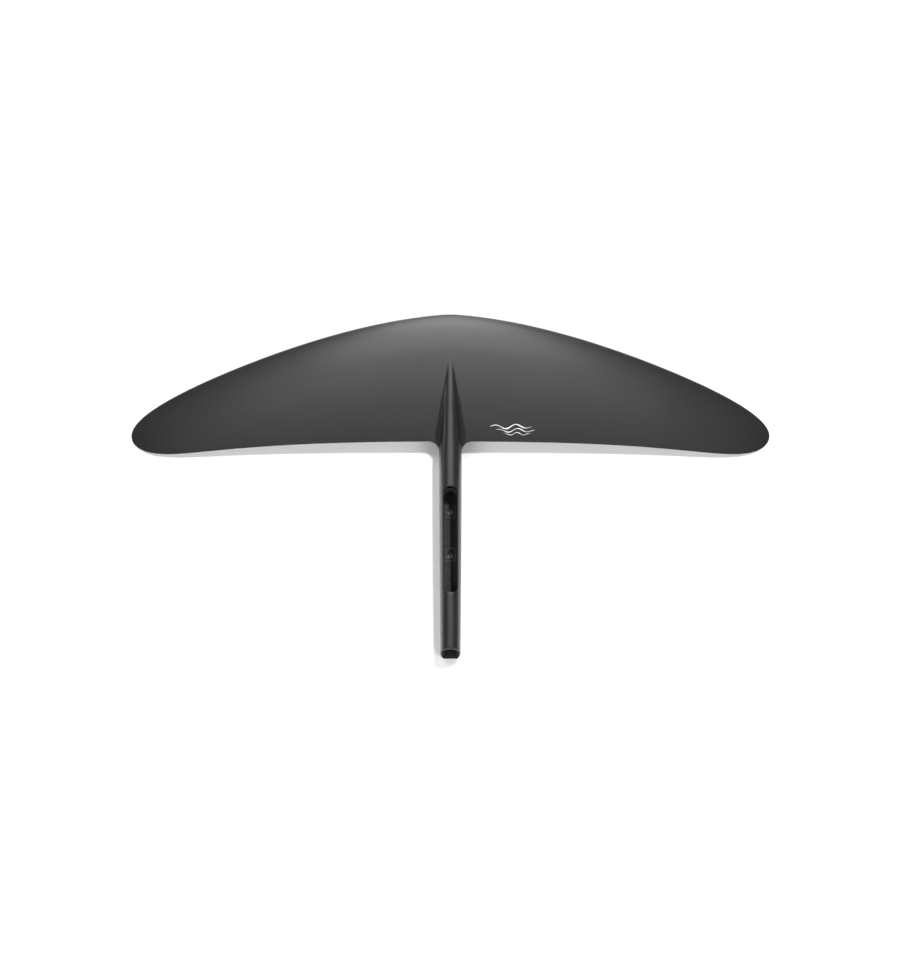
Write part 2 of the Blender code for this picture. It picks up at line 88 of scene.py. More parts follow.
TAIL_TILT = 0.113
SPINE_AFT = 0.0640
KEEL_AFT = 0.0420
JOIN_AFT = ROOT_CHORD + FILLET
LIP = 0.0009                     # rounded edge of the pocket's mouth


# ------------------------------------------------------------------ the wing's surfaces, vectorised
def ease(low, high, value):
    f = np.clip((value - low) / (high - low), 0.0, 1.0)
    return f * f * (3.0 - 2.0 * f)


def smooth_max(a, b, reach):
    reach = np.maximum(reach, 1e-7)
    h = np.maximum(reach - np.abs(a - b), 0.0) / reach
    return np.maximum(a, b) + h * h * reach * 0.25


def leading_edge(t):
    t = np.minimum(1.0, np.abs(t))
    sweep = np.sqrt(t * t + NOSE_ROUND ** 2) - NOSE_ROUND
    return (0.0349 * sweep + 0.1287 * t ** 2 - 0.0453 * t ** 4
            + 0.0464 * (1.0 - np.sqrt(np.maximum(0.0, 1.0 - t ** 6))))


def straight_trailing_edge(t):
    t = np.minimum(1.0, np.abs(t))
    return (ROOT_CHORD + 0.0094 * t ** 2 + 0.0159 * t ** 4
            - 0.0478 * (1.0 - np.sqrt(np.maximum(0.0, 1.0 - t ** 14)))
            + 0.0070 * (1.0 - np.sqrt(np.maximum(0.0, 1.0 - t ** 40))))


def trailing_edge(x):
    x = np.abs(x)
    edge = straight_trailing_edge(x / HALF_SPAN)
    d = np.clip(FUSELAGE_HALF_WIDTH + FILLET - x, 0.0, FILLET)
    return np.where(x <= FUSELAGE_HALF_WIDTH, JOIN_AFT,
                    edge + FILLET - np.sqrt(FILLET ** 2 - d ** 2))


def wing_section(x, aft):
    t = np.minimum(1.0, np.abs(x) / HALF_SPAN)
    front = leading_edge(t)
    chord = np.maximum(straight_trailing_edge(t) - front, 1e-5)
    f = np.clip((aft - front) / chord, 0.0, 1.0)
    ratio = ROOT_THICKNESS + (TIP_THICKNESS - ROOT_THICKNESS) * t
    half = 5.0 * ratio * chord * (0.2969 * np.sqrt(f) - 0.1260 * f - 0.3516 * f ** 2
                                  + 0.2843 * f ** 3 - 0.1036 * f ** 4)
    half = half + 0.5 * EDGE_THICKNESS * f * np.clip(chord / 0.02, 0.0, 1.0)
    mean = (PARTING_Z - TIP_DROOP * t ** 2.2 + INCIDENCE_RISE * (1.0 - f) * (1.0 - t * t)
            + CAMBER * chord * 4.0 * f * (1.0 - f))
    return mean, half


def fuselage_half_width(aft, side=1):
    aft = np.asarray(aft, float)
    s = np.clip((aft - JOIN_AFT) / (LENGTH - JOIN_AFT), 0.0, 1.0)
    rear = FUSELAGE_HALF_WIDTH + (TAIL_HALF_WIDTH - FUSELAGE_HALF_WIDTH) * s ** 1.4
    if side > 0:
        f = np.clip((aft - SPINE_AFT) / (JOIN_AFT - SPINE_AFT), 0.0, 1.0)
        front = 0.0012 + (FUSELAGE_HALF_WIDTH - 0.0012) * f ** 0.9
    else:
        front = 0.0088 + (FUSELAGE_HALF_WIDTH - 0.0088) * ease(KEEL_AFT, JOIN_AFT - 0.012, aft)
    return np.where(aft < JOIN_AFT, front, rear)


def crown(aft):
    mean, half = wing_section(np.zeros_like(aft), np.minimum(aft, SPINE_AFT))
    top = PARTING_Z + CROWN_RISE
    rise = mean + half + (top - mean - half) * ease(SPINE_AFT, 0.2480, aft)
    tail = top + (TAIL_RISE - CROWN_RISE) * (np.clip((aft - 0.2480) / (LENGTH - 0.2480), 0, 1.1)) ** 1.3
    return np.where(aft < SPINE_AFT, mean + half, np.where(aft < 0.2480, rise, tail))


def keel(aft):
    mean, half = wing_section(np.zeros_like(aft), np.minimum(aft, KEEL_AFT))
    low = PARTING_Z - KEEL_DEPTH
    return np.where(aft < KEEL_AFT, mean - half,
                    mean - half + (low - mean + half) * ease(KEEL_AFT, 0.1420, aft))


def outer(x, aft, side):
    """(height of the outer surface, height of the parting surface)."""
    x, aft = np.broadcast_arrays(np.asarray(x, float), np.asarray(aft, float))
    half_width = fuselage_half_width(aft, side)
    line = crown(aft) if side > 0 else keel(aft)
    r = np.minimum(1.0, np.abs(x) / half_width)
    round_share = (1.0 - r ** SECTION_POWER) ** (1.0 / SECTION_POWER)
    rear = PARTING_Z + (line - PARTING_Z) * round_share
    mean, half = wing_section(x, aft)
    wing = mean + side * half
    base = wing + (PARTING_Z - wing) * ease(0.1500, JOIN_AFT, aft)
    body = np.where(np.abs(x) < half_width, base + (line - base) * round_share,
                    base - side * (np.abs(x) - half_width))
    edge = trailing_edge(x)
    m0, h0 = wing_section(np.zeros_like(aft), aft)
    proud = np.maximum(0.0, side * (line - m0) - h0)
    fade = 1.0 - ease(edge - 0.014, edge, aft)
    if side > 0:
        # a straight-edged fairing spreads from the spine's point to the trailing edge
        foot = 0.0012 + (FAIRING_FOOT - 0.0012) * np.clip((aft - SPINE_AFT) / (ROOT_CHORD - SPINE_AFT), 0.0, 1.0)
        share = np.clip(1.0 - np.abs(x) / foot, 0.0, 1.0)
        wing = wing + FAIRING_RISE * proud * share ** 1.25 * fade
        reach = np.minimum(0.0060, 0.9 * proud) * fade
    else:
        reach = np.minimum(0.0125, 1.3 * proud) * fade
    z = np.where(aft >= JOIN_AFT, rear, side * smooth_max(side * wing, side * body, reach))
    mid = np.where(aft >= JOIN_AFT, PARTING_Z, mean)
    if side < 0:
        # the flat belly, with a softly rounded edge where it is cut
        z = np.maximum(smooth_max(z, GROUND_Z, 0.0012) - 0.0003 * (z < GROUND_Z + 0.0012), GROUND_Z)
    return z, mid


def lean(z, aft):
    """The tail's end leans forward with height."""
    return TAIL_TILT * (z - GROUND_Z) * ease(LENGTH - 0.030, LENGTH, aft)


# ------------------------------------------------------------------ materials
def new_material(name):
    m = bpy.data.materials.new(name)
    m.use_nodes = True
    tree = m.node_tree
    return m, tree, tree.nodes["Principled BSDF"]


def node(tree, kind, **values):
    n = tree.nodes.new(kind)
    for k, v in values.items():
        if k.startswith("in_"):
            n.inputs[int(k[3:])].default_value = v
        else:
            setattr(n, k, v)
    return n


def math_node(tree, op, a, b=None):
    n = tree.nodes.new("ShaderNodeMath")
    n.operation = op
    for i, v in enumerate((a, b)):
        if v is None:
            continue
        if isinstance(v, (int, float)):
            n.inputs[i].default_value = v
        else:
            tree.links.new(v, n.inputs[i])
    return n.outputs[0]


def ramp(tree, source, stops):
    n = tree.nodes.new("ShaderNodeValToRGB")
    els = n.color_ramp.elements
    while len(els) < len(stops):
        els.new(0.5)
    for e, (p, c) in zip(els, stops):
        e.position = p
        e.color = (*c, 1.0) if len(c) == 3 else c
    tree.links.new(source, n.inputs[0])
    return n.outputs[0]


def noise(tree, vector, scale, detail=3.0, rough=0.5):
    n = node(tree, "ShaderNodeTexNoise")
    n.inputs["Scale"].default_value = scale
    n.inputs["Detail"].default_value = detail
    n.inputs["Roughness"].default_value = rough
    tree.links.new(vector, n.inputs["Vector"])
    return n.outputs["Fac"]


def bump(tree, height, strength, distance, base=None):
    n = node(tree, "ShaderNodeBump")
    n.inputs["Strength"].default_value = strength
    n.inputs["Distance"].default_value = distance
    tree.links.new(height, n.inputs["Height"])
    if base is not None:
        tree.links.new(base, n.inputs["Normal"])
    return n.outputs["Normal"]


def carbon_material(name, tow=0.0024, use_uv=True, dark=(0.0024, 0.0026, 0.0030),
                    light=(0.0180, 0.0183, 0.0192), rough=(0.30, 0.39), coat=0.35):
    """Plain-weave carbon cloth laid square under a satin clear coat; the light and dark tows in its colour are painted
    sheen.
    """
    m, tree, shader = new_material(name)
    if use_uv:
        coord = node(tree, "ShaderNodeUVMap", uv_map="cloth").outputs["UV"]
    else:
        coord = node(tree, "ShaderNodeTexCoord").outputs["Object"]
    obj = node(tree, "ShaderNodeTexCoord").outputs["Object"]
    sep = node(tree, "ShaderNodeSeparateXYZ")
    tree.links.new(coord, sep.inputs[0])
    # a little wander keeps the tows from being ruler straight
    wander = noise(tree, coord, 16.0, 2.0)
    off = math_node(tree, "MULTIPLY", math_node(tree, "SUBTRACT", wander, 0.5), tow * 0.7)
    u = math_node(tree, "DIVIDE", math_node(tree, "ADD", sep.outputs[0], off), tow)
    v = math_node(tree, "DIVIDE", math_node(tree, "ADD", sep.outputs[1], off), tow)
    step = math_node(tree, "ADD", math_node(tree, "FLOOR", u), math_node(tree, "FLOOR", v))
    over = math_node(tree, "LESS_THAN", math_node(tree, "FLOORED_MODULO", step, 2.0), 1.0)
    pu = math_node(tree, "SINE", math_node(tree, "MULTIPLY", math_node(tree, "FRACT", u), math.pi))
    pv = math_node(tree, "SINE", math_node(tree, "MULTIPLY", math_node(tree, "FRACT", v), math.pi))
    a = math_node(tree, "MULTIPLY", over, pu)
    b = math_node(tree, "MULTIPLY", math_node(tree, "SUBTRACT", 1.0, over), pv)
    height = math_node(tree, "ADD", a, b)
    # the over and under tows and the rise across each tow are painted sheen in the colour; the same pattern also varies
    # the roughness
    shade = math_node(tree, "ADD", math_node(tree, "MULTIPLY", over, 0.6),
                      math_node(tree, "MULTIPLY", height, 0.4))
    cloud = noise(tree, obj, 9.0, 4.0)
    mixed = math_node(tree, "ADD", math_node(tree, "MULTIPLY", shade, 0.7),
                      math_node(tree, "MULTIPLY", cloud, 0.3))
    # colour: painted weave sheen mixed with a random cloudy tone
    colour = ramp(tree, mixed, [(0.10, dark), (0.90, light)])
    tree.links.new(colour, shader.inputs["Base Color"])
    grime = noise(tree, obj, 34.0, 5.0, 0.6)
    r = math_node(tree, "ADD", rough[0], math_node(
        tree, "MULTIPLY", math_node(tree, "ADD", math_node(tree, "MULTIPLY", grime, 0.6),
                                    math_node(tree, "MULTIPLY", shade, 0.4)), rough[1] - rough[0]))
    tree.links.new(r, shader.inputs["Roughness"])
    micro = noise(tree, obj, 900.0, 2.0)
    n1 = bump(tree, height, 0.34, 0.00005)
    n2 = bump(tree, micro, 0.08, 0.00002, n1)
    tree.links.new(n2, shader.inputs["Normal"])
    shader.inputs["IOR"].default_value = 1.5
    shader.inputs["Coat Weight"].default_value = coat
    shader.inputs["Coat Roughness"].default_value = 0.22
    shader.inputs["Coat IOR"].default_value = 1.5
    return m


def plain_material(name, dark, light, rough, scale, bumpiness=0.1, metallic=0.0, stretch=None, gloss=0.5):
    """A moulded or machined surface with cloudy colour, roughness and fine bump."""
    m, tree, shader = new_material(name)
    obj = node(tree, "ShaderNodeTexCoord").outputs["Object"]
    source = obj
    if stretch is not None:
        mapping = node(tree, "ShaderNodeMapping")
        mapping.inputs["Scale"].default_value = stretch
        tree.links.new(obj, mapping.inputs["Vector"])
        source = mapping.outputs[0]
    n = noise(tree, source, scale, 5.0, 0.6)
    tree.links.new(ramp(tree, n, [(0.30, dark), (0.70, light)]), shader.inputs["Base Color"])
    r = math_node(tree, "ADD", rough[0], math_node(tree, "MULTIPLY", n, rough[1] - rough[0]))
    tree.links.new(r, shader.inputs["Roughness"])
    fine = noise(tree, source, scale * 6.0, 3.0)
    tree.links.new(bump(tree, fine, bumpiness, 0.0001), shader.inputs["Normal"])
    shader.inputs["Metallic"].default_value = metallic
    shader.inputs["Specular IOR Level"].default_value = gloss
    return m


def foam_material(name):
    m, tree, shader = new_material(name)
    obj = node(tree, "ShaderNodeTexCoord").outputs["Object"]
    cells = node(tree, "ShaderNodeTexVoronoi")
    cells.inputs["Scale"].default_value = 900.0
    tree.links.new(obj, cells.inputs["Vector"])
    tree.links.new(ramp(tree, cells.outputs["Distance"],
                        [(0.0, (0.50, 0.44, 0.31)), (0.6, (0.74, 0.68, 0.52))]),
                   shader.inputs["Base Color"])
    tree.links.new(bump(tree, cells.outputs["Distance"], 0.5, 0.0003), shader.inputs["Normal"])
    shader.inputs["Roughness"].default_value = 0.9
    return m


carbon = carbon_material("carbon_cloth")
spar_carbon = carbon_material("spar_carbon_cloth", tow=0.004, use_uv=False, coat=0.0, rough=(0.5, 0.6))
pocket_laminate = plain_material("pocket_laminate", (0.050, 0.050, 0.052), (0.068, 0.068, 0.070),
                                 (0.66, 0.82), 160.0, 0.22, gloss=0.04)
# a darker copy of the pocket's laminate for the tail socket; the extra darkness is painted shade inside the hollow end
shaded_sleeve_laminate = plain_material("shaded_sleeve_laminate", (0.014, 0.014, 0.015), (0.022, 0.022, 0.023),
                                 (0.55, 0.70), 160.0, 0.22, gloss=0.15)
glass_laminate = plain_material("glass_laminate", (0.045, 0.050, 0.048), (0.085, 0.095, 0.090),
                                (0.50, 0.70), 120.0, 0.25)
filler = plain_material("resin_filler", (0.12, 0.125, 0.13), (0.20, 0.21, 0.22), (0.6, 0.8), 220.0, 0.2)
foam = foam_material("core_foam_cells")
# a darker copy of the steel for the pieces in the mast pocket; its darkness is painted shade
shaded_steel = plain_material("steel_painted_shade", (0.058, 0.059, 0.062), (0.080, 0.081, 0.084), (0.52, 0.64), 500.0,
                            0.10, 0.0, gloss=0.10)
steel = plain_material("machined_steel", (0.48, 0.49, 0.50), (0.62, 0.63, 0.64), (0.24, 0.38), 700.0,
                       0.10, 1.0, (1.0, 1.0, 0.05))
mark_white = plain_material("mark_white", (0.70, 0.70, 0.69), (0.80, 0.80, 0.79), (0.40, 0.50), 300.0, 0.05)

FINISH = {"carbon_laminate": carbon, "spar_carbon": spar_carbon, "core_foam": foam,
          "resin_filler": filler, "glass_laminate": glass_laminate, "stainless_steel": steel}
slot_of = {s["node"]: s["material_slot"] for s in frame["record"]["subparts"]}
for name, obj in frame["nodes"].items():
    mat = FINISH[slot_of[name]]
    if name in ("upper_shell", "lower_shell"):
        continue
    if not obj.material_slots:
        continue
    for s in obj.material_slots:
        s.link = "OBJECT"
        s.material = mat


# ------------------------------------------------------------------ mesh helpers
def link(obj, mat, replaces=()):
    bpy.context.scene.collection.objects.link(obj)
    obj.data.materials.clear()
    obj.data.materials.append(mat)
    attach(obj, "root")
    if replaces:
        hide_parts(*replaces)
    return obj


def shaded(mesh, angle=38.0):
    mesh.shade_smooth()
    mesh.set_sharp_from_angle(angle=math.radians(angle))


def from_bmesh(name, bm, angle=38.0):
    bmesh.ops.recalc_face_normals(bm, faces=bm.faces)
    mesh = bpy.data.meshes.new(name)
    bm.to_mesh(mesh)
    bm.free()
    shaded(mesh, angle)
    return bpy.data.objects.new(name, mesh)


def boolean(obj, cutters):
    """Cuts the closed cutters out of obj and applies the result."""
    for c in cutters:
        m = obj.modifiers.new("cut", "BOOLEAN")
        m.operation, m.solver, m.object = "DIFFERENCE", "EXACT", c
    bpy.context.view_layer.update()
    graph = bpy.context.evaluated_depsgraph_get()
    mesh = bpy.data.meshes.new_from_object(obj.evaluated_get(graph))
    obj.modifiers.clear()
    obj.data = mesh
    for c in cutters:
        bpy.data.objects.remove(c, do_unlink=True)


def cutter_cylinder(radius, low, high, y, sides=64):
    bm = bmesh.new()
    bmesh.ops.create_cone(bm, cap_ends=True, segments=sides, radius1=radius, radius2=radius,
                          depth=high - low, matrix=Matrix.Translation((0.0, y, (low + high) / 2)))
    mesh = bpy.data.meshes.new("cutter")
    bm.to_mesh(mesh)
    bm.free()
    obj = bpy.data.objects.new("cutter", mesh)
    bpy.context.scene.collection.objects.link(obj)
    return obj


def lathe(name, profile, y, steps=72, angle=30.0):
    bm = bmesh.new()
    rings = []
    for r, z in profile:
        rings.append([bm.verts.new((r * math.cos(2 * math.pi * k / steps),
                                    y + r * math.sin(2 * math.pi * k / steps), z))
                      for k in range(steps)])
    for a, b in zip(rings, rings[1:] + rings[:1]):
        for k in range(steps):
            n = (k + 1) % steps
            bm.faces.new((a[k], a[n], b[n], b[k]))
    return from_bmesh(name, bm, angle)


def loop_rings(name, loops, closed=True, caps=(False, False), angle=30.0):
    """Skins a list of equally long 3-D loops; closed also joins the last to the first."""
    bm = bmesh.new()
    rings = [[bm.verts.new(p) for p in loop] for loop in loops]
    pairs = list(zip(rings, rings[1:]))
    if closed:
        pairs.append((rings[-1], rings[0]))
    count = len(rings[0])
    for a, b in pairs:
        for k in range(count):
            n = (k + 1) % count
            bm.faces.new((a[k], a[n], b[n], b[k]))
    if caps[0]:
        bm.faces.new(list(reversed(rings[0])))
    if caps[1]:
        bm.faces.new(rings[-1])
    return from_bmesh(name, bm, angle)


# ------------------------------------------------------------------ the pocket's outline in plan
FRONT_CENTRE = NOSE_Y - (POCKET_LENGTH / 2 - POCKET_WIDTH / 2)     # aft of the nose
REAR_EDGE = NOSE_Y + POCKET_LENGTH / 2


def pocket_right(grow, front=14, rear=9, middle=26):
    """(x, aft) from the front end round the right side to the rear edge's corner."""
    half = POCKET_WIDTH / 2 + grow
    r = POCKET_REAR_RADIUS + grow
    pts = [(half * math.sin(math.pi / 2 * k / front), FRONT_CENTRE - half * math.cos(math.pi / 2 * k / front))
           for k in range(front + 1)]
    rear_centre = REAR_EDGE + grow - r
    pts += [(half, FRONT_CENTRE + (rear_centre - FRONT_CENTRE) * k / middle) for k in range(1, middle + 1)]
    pts += [(half - r + r * math.cos(math.pi / 2 * k / rear), rear_centre + r * math.sin(math.pi / 2 * k / rear))
            for k in range(1, rear + 1)]
    return np.array(pts)


def pocket_loop(grow, **kw):
    right = pocket_right(grow, **kw)
    left = right[::-1] * np.array([-1.0, 1.0])
    return np.vstack([right, left[:-1]])     # the front point is shared


# ------------------------------------------------------------------ the moulded skin
def build_skin():
    n_f = 46
    share = (np.arange(n_f + 1) / n_f) ** 1.75
    theta0 = math.asin((FUSELAGE_HALF_WIDTH + FILLET) / HALF_SPAN)
    span = HALF_SPAN * np.sin(theta0 + (math.pi / 2 - theta0) * (np.arange(1, 97) / 96.0) ** 1.05)
    corner = FUSELAGE_HALF_WIDTH + FILLET * (1 - np.cos(np.pi / 2 * np.arange(1, 15) / 14))
    n_p = 22
    p = np.sin(np.pi / 2 * np.arange(0, n_p + 1) / n_p)          # centre to side, 0..1

    edge = pocket_right(LIP)
    before = np.linspace(JOIN_AFT, edge[0, 1], 16)[1:-1]
    after = LENGTH - 0.0007 - (LENGTH - 0.0007 - edge[-1, 1]) * (1 - np.linspace(0, 1, 20)) ** 1.0
    rows = ([(a, 0.0) for a in before] + [(a, s) for s, a in edge] + [(a, 0.0) for a in after[1:]])
    first_slot = len(before)
    last_slot = len(before) + len(edge) - 1

    verts, faces, uvs = [], [], []
    index = {}

    def add(key, x, aft, z, u):
        index[key] = len(verts)
        verts.append((x, NOSE_Y - aft, z))
        uvs.append((u, aft))
        return index[key]

    cols = np.concatenate([p[1:] * FUSELAGE_HALF_WIDTH, corner, span])
    n_c = len(cols)
    lip_half = 0.00045

    for side in (1, -1):
        for hand in (1, -1):
            # wing region, columns from the centre outwards
            xs = np.concatenate([[0.0], cols]) * hand
            front = leading_edge(np.abs(xs) / HALF_SPAN)
            back = trailing_edge(xs)
            aft = front[:, None] + (back - front)[:, None] * share[None, :]
            X = np.repeat(xs[:, None], n_f + 1, axis=1)
            Z, mid = outer(X, aft, side)
            chord = (back - front)[:, None]
            lip = lip_half * share[None, :] ** 0.6 * np.clip(chord / 0.02, 0, 1)
            Z = np.where(side * (Z - mid) < lip, mid + side * lip, Z)
            # arc length outwards along each row, for the cloth
            step = np.hypot(np.diff(X, axis=0), np.diff(Z, axis=0))
            arc = np.vstack([np.zeros((1, n_f + 1)), np.cumsum(step, axis=0)]) * hand
            for i in range(len(xs)):
                for j in range(n_f + 1):
                    if i == 0 and hand < 0:
                        index[(side, hand, i, j)] = index[(side, 1, 0, j)]
                    elif j == 0 and side < 0:
                        index[(side, hand, i, j)] = index[(1, hand, i, 0)]
                    else:
                        add((side, hand, i, j), X[i, j], aft[i, j], Z[i, j], arc[i, j])
            # fuselage region, aft of the wing
            for r, (a, s) in enumerate(rows):
                w = float(fuselage_half_width(np.array(a)))
                if side < 0:
                    s = 0.0
                x = (s + (w - s) * p) * hand
                z, _ = outer(x, np.full_like(x, a), side)
                z = np.where(side * (z - PARTING_Z) < lip_half, PARTING_Z + side * lip_half, z)
                # arc length from the side inwards keeps the cloth joined to the wing's
                full = np.linspace(0, w, 60) * hand
                zf, _ = outer(full, np.full_like(full, a), side)
                total = np.concatenate([[0], np.cumsum(np.hypot(np.diff(full), np.diff(zf)))])
                u = np.interp(np.abs(x), np.abs(full), total) * hand
                for i in range(n_p + 1):
                    key = (side, hand, i, n_f + 1 + r)
                    slot_row = side > 0 and first_slot < r <= last_slot
                    if i == 0 and hand < 0 and not slot_row:
                        index[key] = index[(side, 1, 0, n_f + 1 + r)]
                    else:
                        add(key, x[i], a, z[i], u[i])

    def quad(a, b, c, d, flip):
        q = [a, b, c, d]
        out = []
        for v in q:
            if v not in out:
                out.append(v)
        if len(out) < 3:
            return
        faces.append(out[::-1] if flip else out)

    n_rows = len(rows)
    for side in (1, -1):
        for hand in (1, -1):
            flip = side * hand < 0
            for i in range(n_c):
                for j in range(n_f):
                    quad(index[(side, hand, i, j)], index[(side, hand, i, j + 1)],
                         index[(side, hand, i + 1, j + 1)], index[(side, hand, i + 1, j)], flip)
            for i in range(n_p):
                for j in range(n_f, n_f + n_rows):
                    quad(index[(side, hand, i, j)], index[(side, hand, i, j + 1)],
                         index[(side, hand, i + 1, j + 1)], index[(side, hand, i + 1, j)], flip)
    # the rear edge of the mouth: the middle of the row where the slot ends
    a = index[(1, 1, 0, n_f + 1 + last_slot)]
    b = index[(1, -1, 0, n_f + 1 + last_slot)]
    c = index[(1, 1, 0, n_f + 2 + last_slot)]
    faces.append([a, b, c])

    # blunt edge along the trailing edge, round the fillet and along the fuselage's side
    for hand in (1, -1):
        chain = [(i, n_f) for i in range(n_c, n_p - 1, -1)] + [(n_p, n_f + 1 + r) for r in range(n_rows)]
        for (i0, j0), (i1, j1) in zip(chain, chain[1:]):
            quad(index[(1, hand, i0, j0)], index[(-1, hand, i0, j0)],
                 index[(-1, hand, i1, j1)], index[(1, hand, i1, j1)], hand > 0)

    # the rounded lip of the mouth
    ring_keys = [(1, 1, 0, n_f + 1 + r) for r in range(first_slot, last_slot + 1)]
    ring_keys += [(1, -1, 0, n_f + 1 + r) for r in range(last_slot, first_slot, -1)]
    ring = [index[k] for k in ring_keys]
    z_edge = np.array([verts[k][2] for k in ring])
    u_edge = [uvs[k] for k in ring]
    previous = ring
    profile = [(LIP * (1 - math.sin(math.pi / 2 * k / 5)), LIP * (1 - math.cos(math.pi / 2 * k / 5)))
               for k in range(1, 6)]
    for grow, drop in profile + [(0.0, LIP + 0.0014), (0.0, LIP + 0.0030)]:
        loop = pocket_loop(grow)
        now = []
        for k, (x, a) in enumerate(loop):
            now.append(len(verts))
            verts.append((x, NOSE_Y - a, z_edge[k] - drop))
            uvs.append((u_edge[k][0] + 0.7 * (LIP - grow + drop), u_edge[k][1]))
        for k in range(len(ring)):
            n = (k + 1) % len(ring)
            faces.append([previous[k], previous[n], now[n], now[k]])
        previous = now

    # the tail's rounded end and its flat face
    top = [(1, -1, i, n_f + n_rows) for i in range(n_p, 0, -1)] + [(1, 1, i, n_f + n_rows) for i in range(0, n_p + 1)]
    low = [(-1, 1, i, n_f + n_rows) for i in range(n_p, 0, -1)] + [(-1, -1, i, n_f + n_rows) for i in range(0, n_p + 1)]
    ring = [index[k] for k in top + low]
    pts = np.array([verts[k] for k in ring])[:, [0, 2]]
    tangent = np.roll(pts, -1, axis=0) - np.roll(pts, 1, axis=0)
    normal = np.stack([tangent[:, 1], -tangent[:, 0]], axis=1)
    normal /= np.linalg.norm(normal, axis=1)[:, None]
    centre = pts.mean(axis=0)
    if np.sum(normal * (centre - pts)) < 0:
        normal = -normal
    previous = ring
    start_a = rows[-1][0]
    steps = [(0.0007 * (1 - math.cos(math.pi / 2 * k / 4)), 0.0007 * math.sin(math.pi / 2 * k / 4)) for k in range(1, 5)]
    for inward, aftward in steps + [(0.0012, 0.0007), (0.0016, 0.0007)]:
        now = []
        for k in range(len(ring)):
            x, z = pts[k] + normal[k] * inward
            now.append(len(verts))
            verts.append((x, NOSE_Y - (start_a + aftward), z))
            uvs.append((uvs[ring[k]][0], start_a + inward + aftward))
        for k in range(len(ring)):
            n = (k + 1) % len(ring)
            faces.append([previous[k], previous[n], now[n], now[k]])
        previous = now

    points = np.array(verts)
    points[:, 1] += lean(points[:, 2], NOSE_Y - points[:, 1])
    points = np.clip(points, CAD_LOW, CAD_HIGH)
    mesh = bpy.data.meshes.new("foil_skin")
    mesh.from_pydata(points.tolist(), [], faces)
    layer = mesh.uv_layers.new(name="cloth")
    loops = np.empty(len(mesh.loops), dtype=np.int32)
    mesh.loops.foreach_get("vertex_index", loops)
    layer.data.foreach_set("uv", np.array(uvs, dtype=np.float32)[loops].ravel())
    bm = bmesh.new()
    bm.from_mesh(mesh)
    bmesh.ops.remove_doubles(bm, verts=bm.verts, dist=2e-5)
    bmesh.ops.recalc_face_normals(bm, faces=bm.faces)
    bm.to_mesh(mesh)
    bm.free()
    mesh.validate()
    shaded(mesh, 42.0)
    obj = bpy.data.objects.new("foil_skin", mesh)
    bpy.context.scene.collection.objects.link(obj)
    solid = obj.modifiers.new("laminate", "SOLIDIFY")
    solid.thickness = 0.00035
    solid.offset = -1.0
    solid.use_even_offset = False
    holes = [cutter_cylinder(0.0077, -0.012, -0.0062, y) for y in BOLT_Y]
    holes += [cutter_cylinder(0.0062, -0.012, -0.0062, y) for y in TAIL_BOLT_Y]
    boolean(obj, holes)
    bpy.context.scene.collection.objects.unlink(obj)
    return link(obj, carbon, ("upper_shell", "lower_shell"))


skin = build_skin()


# ------------------------------------------------------------------ the mast pocket's liner
def loop3(grow, z, **kw):
    return [(x, NOSE_Y - a, z) for x, a in pocket_loop(grow, **kw)]


def build_liner():
    profile = [(0.0, -0.0034), (0.0014, -0.0020), (0.0014, 0.0180), (0.0004, 0.0214), (0.00005, 0.0214)]
    floor_r = 0.0010
    for k in range(0, 6):
        a = math.pi / 2 * k / 5
        profile.append((-floor_r * (1 - math.cos(a)) + 0.00005, floor_r * (1 - math.sin(a))))
    loops = [loop3(g, z) for g, z in profile]
    obj = loop_rings("pocket_liner", loops, closed=False, caps=(True, True), angle=35.0)
    bpy.context.scene.collection.objects.link(obj)
    cutters = []
    for y in BOLT_Y:
        bm = bmesh.new()
        bmesh.ops.create_cube(bm, size=1.0, matrix=Matrix.Translation((0.0, y, 0.0030 - 0.0013))
                              @ Matrix.Diagonal((0.0165, 0.0215, 0.0060, 1.0)))
        mesh = bpy.data.meshes.new("cutter")
        bm.to_mesh(mesh)
        bm.free()
        c = bpy.data.objects.new("cutter", mesh)
        bpy.context.scene.collection.objects.link(c)
        cutters += [c, cutter_cylinder(0.0057, -0.010, 0.002, y)]
    boolean(obj, cutters)
    shaded(obj.data, 35.0)
    bpy.context.scene.collection.objects.unlink(obj)
    return link(obj, pocket_laminate, ("mast_socket",))


liner = build_liner()


# ------------------------------------------------------------------ slotted wear plates in the pocket's floor
def rounded_rect(half_x, half_y, r, count=96):
    """Points at even turns round a rounded rectangle."""
    pts = []
    for k in range(count):
        t = 2 * math.pi * (k + 0.5) / count
        c, s = math.cos(t), math.sin(t)
        scale = min((half_x - r) / max(abs(c), 1e-9), (half_y - r) / max(abs(s), 1e-9))
        best = None
        lo, hi = 0.0, 2.0 * (half_x + half_y)
        for _ in range(40):
            mid = (lo + hi) / 2
            dx = max(abs(mid * c) - (half_x - r), 0.0)
            dy = max(abs(mid * s) - (half_y - r), 0.0)
            if math.hypot(dx, dy) < r:
                lo = mid
            else:
                hi = mid
        pts.append((lo * c, lo * s))
    return pts


for y, where in zip(BOLT_Y, ("front", "rear")):
    half_x, half_y, r = 0.0080, 0.0105, 0.0016
    slot_x, slot_y = 0.0043, 0.0073
    c = 0.00025
    loops = []
    for (hx, hy, rr), z in (((half_x, half_y, r), -0.0013), ((half_x, half_y, r), -0.0001 - c),
                            ((half_x - c, half_y - c, r - c), -0.0001),
                            ((slot_x + c, slot_y + c, slot_x + c), -0.0001),
                            ((slot_x, slot_y, slot_x - 1e-6), -0.0001 - c),
                            ((slot_x, slot_y, slot_x - 1e-6), -0.0013)):
        loops.append([(px, y + py, z) for px, py in rounded_rect(hx, hy, rr)])
    plate = loop_rings("wear_plate_" + where, loops, closed=True, angle=30.0)
    # the plates take the darkened steel, painted shade on the pocket's floor
    link(plate, shaded_steel, ("socket_wear_plate_" + where,))


